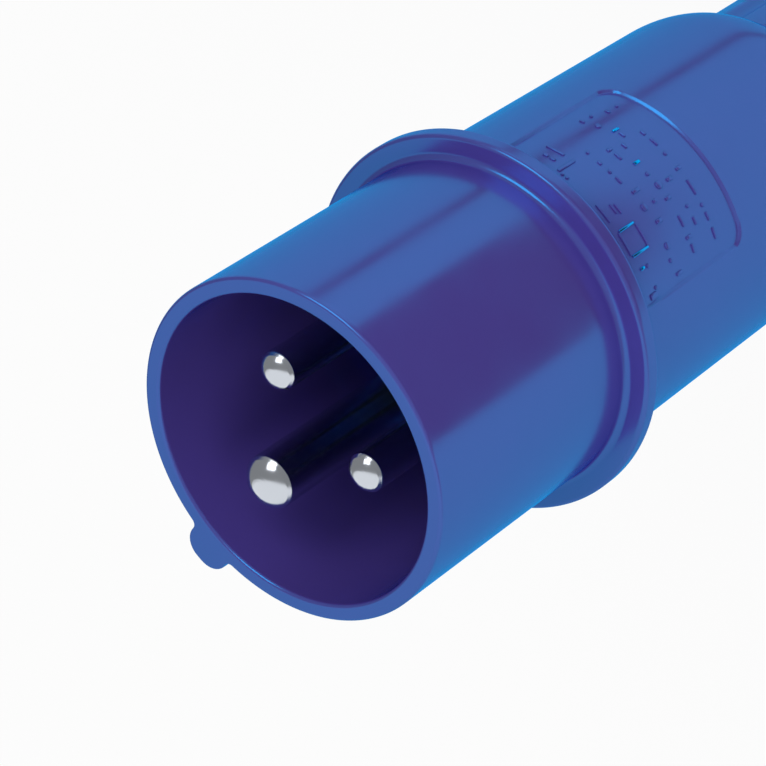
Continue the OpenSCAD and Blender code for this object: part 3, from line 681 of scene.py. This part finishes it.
def makeMarks(settings, marks, panel, rear):
    # one point a mark, at half its thickness, which the tree makes into the mark
    radius = rearHigh.x - panel["depth"]
    thickness = settings["proud"] + settings["buried"]
    mesh = plainMesh("panel_marks", [(math.radians(angle) * radius * mm, down * mm, thickness / 2 * mm)
                                     for angle, down, width, height, dotted in marks])
    size = mesh.attributes.new("size", "FLOAT_VECTOR", "POINT")
    kind = mesh.attributes.new("dotted", "BOOLEAN", "POINT")
    for i, (angle, down, width, height, dotted) in enumerate(marks):
        size.data[i].vector = (width * mm, height * mm, thickness * mm)
        kind.data[i].value = bool(dotted)
    slope = rear["taper"] / (rearHigh.z - rear["shoulderTop"])
    mesh = runTree("panel_marks", mesh, marksTree(), blueMoulding, {
        "Front radius": radius * mm, "Front height": rearHigh.z * mm, "Slope": slope,
        "Buried": settings["buried"] * mm})
    work = bmesh.new()
    work.from_mesh(mesh)
    bmesh.ops.remove_doubles(work, verts=work.verts, dist=settings["join"])
    sharp = [edge for edge in work.edges if edge.is_manifold and edge.calc_face_angle() > settings["sharp"]]
    bmesh.ops.bevel(work, geom=sharp, offset=settings["bevel"] * mm, segments=settings["bevelSteps"],
                    affect="EDGES", profile=0.5, material=-1)
    work.to_mesh(mesh)
    work.free()
    placePiece("panel_marks", mesh, "housing", "blue_polyamide")


makeMarks(marksSettings, markList, panelSettings, rearSettings)

nutSettings = {"endRadius": 15.0, "waist": 9.0, "round": 0.8, "bore": 14.06, "step": 15.5, "coneTop": 11.05,
               "coneEnd": 8.8, "coneStart": 6.4, "waistRound": 4.0, "boreRound": 0.35, "columnsPerFlute": 24,
               "longest": 0.7}
fluteSettings = {"Flutes": 14, "Radius": nutHigh.x * mm, "Cutter": 2.5 * mm, "Depth": 0.9 * mm,
                 "Start": 7.2 * mm, "Run-out": 2.2 * mm, "Softness": 0.35 * mm}


def fluteTree():
    # presses evenly spaced round grooves into the outside, each with a soft edge and a run-out
    tree, given = newTree("grip flutes", [("Flutes", "Int"), ("Radius", "Float"), ("Cutter", "Float"),
                                          ("Depth", "Float"), ("Start", "Float"), ("Run-out", "Float"),
                                          ("Softness", "Float")])
    parts, radius, angle = roundPlace(tree)
    pitch = addNode(tree, "ShaderNodeMath", {0: 2 * math.pi, 1: given.outputs["Flutes"]}, operation="DIVIDE")
    wrapped = addNode(tree, "ShaderNodeMath", {0: angle, 1: pitch}, operation="FLOORED_MODULO")
    halfPitch = addNode(tree, "ShaderNodeMath", {0: pitch, 1: 0.5}, operation="MULTIPLY")
    off = addNode(tree, "ShaderNodeMath", {0: wrapped, 1: halfPitch}, operation="SUBTRACT")
    reach = addNode(tree, "ShaderNodeMath", {0: given.outputs["Radius"], 1: given.outputs["Cutter"]},
                    operation="ADD")
    centre = addNode(tree, "ShaderNodeMath", {0: reach, 1: given.outputs["Depth"]}, operation="SUBTRACT")
    across = addNode(tree, "ShaderNodeMath", {
        0: centre, 1: addNode(tree, "ShaderNodeMath", {0: off}, operation="SINE")}, operation="MULTIPLY")
    along = addNode(tree, "ShaderNodeMath", {
        0: centre, 1: addNode(tree, "ShaderNodeMath", {0: off}, operation="COSINE")}, operation="MULTIPLY")
    left = addNode(tree, "ShaderNodeMath", {
        0: addNode(tree, "ShaderNodeMath", {0: given.outputs["Cutter"], 1: 2.0}, operation="POWER"),
        1: addNode(tree, "ShaderNodeMath", {0: across, 1: 2.0}, operation="POWER")}, operation="SUBTRACT")
    inside = addNode(tree, "ShaderNodeMath", {0: left, 1: 0.0}, operation="MAXIMUM")
    cut = addNode(tree, "ShaderNodeMath", {
        0: along, 1: addNode(tree, "ShaderNodeMath", {0: inside}, operation="SQRT")}, operation="SUBTRACT")
    pressed = addNode(tree, "ShaderNodeMath", {0: radius, 1: cut, 2: given.outputs["Softness"]},
                      operation="SMOOTH_MIN")
    full = addNode(tree, "ShaderNodeMath", {0: given.outputs["Start"], 1: given.outputs["Run-out"]},
                   operation="ADD")
    fade = addNode(tree, "ShaderNodeMapRange", {"Value": parts.outputs[2], "From Min": given.outputs["Start"],
                                                "From Max": full}, interpolation_type="SMOOTHSTEP")
    kept = addNode(tree, "ShaderNodeMix", {0: fade, 2: radius, 3: pressed})
    return endTree(tree, given, setRadius(tree, given, parts, radius, kept, True))


def makeNut(settings, flutes):
    s = settings
    corners = [
        (s["coneEnd"], 0, 0.5), (s["endRadius"], 0, s["round"]), (nutHigh.x, s["waist"], s["waistRound"]),
        (nutHigh.x, nutHigh.z, s["round"]), (s["bore"], nutHigh.z, s["boreRound"]),
        (s["bore"], s["step"], 0.1), (s["coneTop"], s["step"], 0.1), (s["coneEnd"], s["coneStart"], 0.1)]
    outline = roundedOutline(corners, longest=s["longest"])
    mesh = turnPiece("gland_nut_shell", outline, evenAngles(flutes["Flutes"] * s["columnsPerFlute"]),
                     blueMoulding)
    mesh = runTree("gland_nut_shell", mesh, fluteTree(), blueMoulding, flutes)
    placePiece("gland_nut_shell", mesh, "nut", "blue_polyamide", "gland_nut")


makeNut(nutSettings, fluteSettings)

pinSettings = {"tipShare": 0.26, "tipSteps": 16, "edge": 0.35, "edgeLong": 1.4, "collar": 0.4, "seat": 8.0,
               "barrelWall": 1.5, "wireHole": 1.8, "wireDepth": 10.5, "holeTip": 0.9, "columns": 96}


def makePin(name, settings):
    s = settings
    low, high = (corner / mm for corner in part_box(name))
    axis = (low + high) / 2
    floorZ = shroudSettings["floor"]
    barrelTop = floorZ - s["seat"]
    radius = (high.x - low.x) / 2 - s["barrelWall"]
    dome = 2 * radius * s["tipShare"]
    domeRadius = (radius ** 2 + dome ** 2) / (2 * dome)
    lean = math.asin((radius - s["edge"]) / domeRadius)
    tip = [(domeRadius * math.sin(a), high.z - domeRadius * (1 - math.cos(a)), 0)
           for a in [lean * k / s["tipSteps"] for k in range(s["tipSteps"] + 1)]]
    lastR, lastZ = tip[-1][:2]
    corners = tip[:-1] + [
        (lastR, lastZ, 0.12), (radius, lastZ - s["edgeLong"] * s["edge"], 0.3), (radius, floorZ, 0.0),
        (radius + s["collar"], floorZ, 0.1), (radius + s["collar"], barrelTop, 0.1),
        (radius + s["barrelWall"], barrelTop, 0.15), (radius + s["barrelWall"], low.z, 0.15),
        (s["wireHole"], low.z, 0.3), (s["wireHole"], low.z + s["wireDepth"], 0.1),
        (0, low.z + s["wireDepth"] + s["holeTip"], 0)]
    outline = roundedOutline(corners, arcSteps=5, support=0.1, closed=False)
    mesh = turnPiece(name + "_turned", outline, evenAngles(s["columns"]),
                     platedNickel(nickelSettings, name, axis * mm))
    mesh.transform(Matrix.Translation((axis.x * mm, axis.y * mm, 0)))
    placePiece(name + "_turned", mesh, "housing", "nickel_plate", name)


for pinName in ("pin_live", "pin_neutral", "pin_earth"):
    makePin(pinName, pinSettings)



def makeSheet(name, corners, material):
    mesh = bpy.data.meshes.new(name)
    mesh.from_pydata(corners, [], [(0, 1, 2, 3)])
    mesh.materials.append(material)
    sheet = bpy.data.objects.new(name, mesh)
    bpy.context.scene.collection.objects.link(sheet)
    return sheet


floorSettings = {"size": 3.0, "colour": "#f4f4f4", "shadowDepth": 0.1}


def makeFloor(settings):
    material, tree = newMaterial("white studio floor")
    path = addNode(tree, "ShaderNodeLightPath")
    seen = addNode(tree, "ShaderNodeMath",
                   {0: path.outputs["Is Camera Ray"], 1: path.outputs["Is Glossy Ray"]}, operation="MAXIMUM")
    seen = addNode(tree, "ShaderNodeMath", {0: seen, 1: path.outputs["Is Transmission Ray"]},
                   operation="MAXIMUM")
    paint = addNode(tree, "ShaderNodeBsdfDiffuse", {"Color": hexColour(settings["colour"])})
    glow = addNode(tree, "ShaderNodeEmission", {"Color": (1, 1, 1, 1), "Strength": 1.0})
    share = addNode(tree, "ShaderNodeMath", {0: seen, 1: 1 - settings["shadowDepth"]}, operation="MULTIPLY")
    mixed = addNode(tree, "ShaderNodeMixShader", {0: share, 1: paint, 2: glow})
    addNode(tree, "ShaderNodeOutputMaterial", {"Surface": mixed})
    half = settings["size"] / 2
    makeSheet("floor", [(-half, -half, 0), (half, -half, 0), (half, half, 0), (-half, half, 0)], material)


# two dark cards lie on the floor in front, and only the gloss sees them. A row gives the distance where a
# card starts, then for each edge where it points and from which side of the shroud its reflection starts
cardSettings = {
    "colour": "#101012",
    "far": 900.0,
    "height": 1.0,
    "radius": 22.0,
    "cards": [(94.0, (214.5, 237.0), (300.0, 280.0)), (12.0, (331.5, 295.5), (338.0, 298.5))],
}


def makeCards(settings):
    material, tree = newMaterial("black card")
    paint = addNode(tree, "ShaderNodeBsdfDiffuse", {"Color": hexColour(settings["colour"])})
    addNode(tree, "ShaderNodeOutputMaterial", {"Surface": paint})
    for near, *edges in settings["cards"]:
        points = []
        for azimuth, side in edges:
            away, start = towards(azimuth, 0), settings["radius"] * towards(side, 0)
            points.append([start + away * reach + Vector((0, 0, settings["height"]))
                           for reach in (near, settings["far"])])
        corners = [points[0][0], points[0][1], points[1][1], points[1][0]]
        card = makeSheet("dark_card", [corner * mm for corner in corners], material)
        card.visible_camera = card.visible_diffuse = card.visible_shadow = card.visible_transmission = False


lampDistance, lampAim = 0.6, (0, 0, 0.1)
lampSettings = [
    # azimuth, elevation, width, height, power, whether the gloss shows it
    (225, 38, 0.3, 0.3, 1.2, False),
    (315, 40, 0.3, 0.3, 1.05, True),
    (285, 40, 0.3, 0.3, 1.1, False),
    (90, 8, 0.3, 0.16, 0.6, False),
    (165, 38, 0.3, 0.3, 0.25, False),
    (195, 38, 0.3, 0.3, 0.22, False),
]


def makeLamps(lamps):
    aim = Vector(lampAim)
    for azimuth, elevation, width, height, power, mirrored in lamps:
        data = bpy.data.lights.new("softbox", "AREA")
        data.shape = "RECTANGLE"
        data.size = width
        data.size_y = height
        data.energy = power
        lamp = bpy.data.objects.new("softbox", data)
        bpy.context.scene.collection.objects.link(lamp)
        lamp.location = aim + lampDistance * towards(azimuth, elevation)
        lamp.rotation_mode = "QUATERNION"
        lamp.rotation_quaternion = (aim - lamp.location).to_track_quat("-Z", "Y")
        lamp.visible_camera = False
        lamp.visible_glossy = mirrored


# white all round to the eye; gloss sees a white backdrop on one side and a grey room elsewhere
worldSettings = {"fill": 0.35, "room": 0.3, "azimuth": 131.6, "elevation": 33.5, "edge": 0.5,
                 "softness": 0.05}


def makeWorld(settings):
    world = bpy.data.worlds.new("studio")
    bpy.context.scene.world = world
    world.use_nodes = True
    tree = world.node_tree
    tree.nodes.clear()
    backdrop = towards(settings["azimuth"], settings["elevation"])
    path = addNode(tree, "ShaderNodeLightPath")
    way = addNode(tree, "ShaderNodeTexCoord").outputs["Generated"]
    facing = addNode(tree, "ShaderNodeVectorMath", {0: way, 1: backdrop}, operation="DOT_PRODUCT")
    mirrored = addNode(tree, "ShaderNodeMapRange", {
        0: facing.outputs["Value"], 1: settings["edge"] - settings["softness"],
        2: settings["edge"] + settings["softness"], 3: settings["room"], 4: 1.0})
    level = addNode(tree, "ShaderNodeMix",
                    {0: path.outputs["Is Glossy Ray"], 2: settings["fill"], 3: mirrored})
    seen = addNode(tree, "ShaderNodeMath",
                   {0: path.outputs["Is Camera Ray"], 1: path.outputs["Is Transmission Ray"]},
                   operation="MAXIMUM")
    strength = addNode(tree, "ShaderNodeMath", {0: level.outputs[0], 1: seen}, operation="MAXIMUM")
    glow = addNode(tree, "ShaderNodeBackground", {"Color": (1, 1, 1, 1), "Strength": strength})
    addNode(tree, "ShaderNodeOutputWorld", {"Surface": glow})


makeFloor(floorSettings)
makeCards(cardSettings)
makeLamps(lampSettings)
makeWorld(worldSettings)
bpy.context.scene.view_settings.view_transform = "Standard"
print("stage: floor, lamps and world are ready")
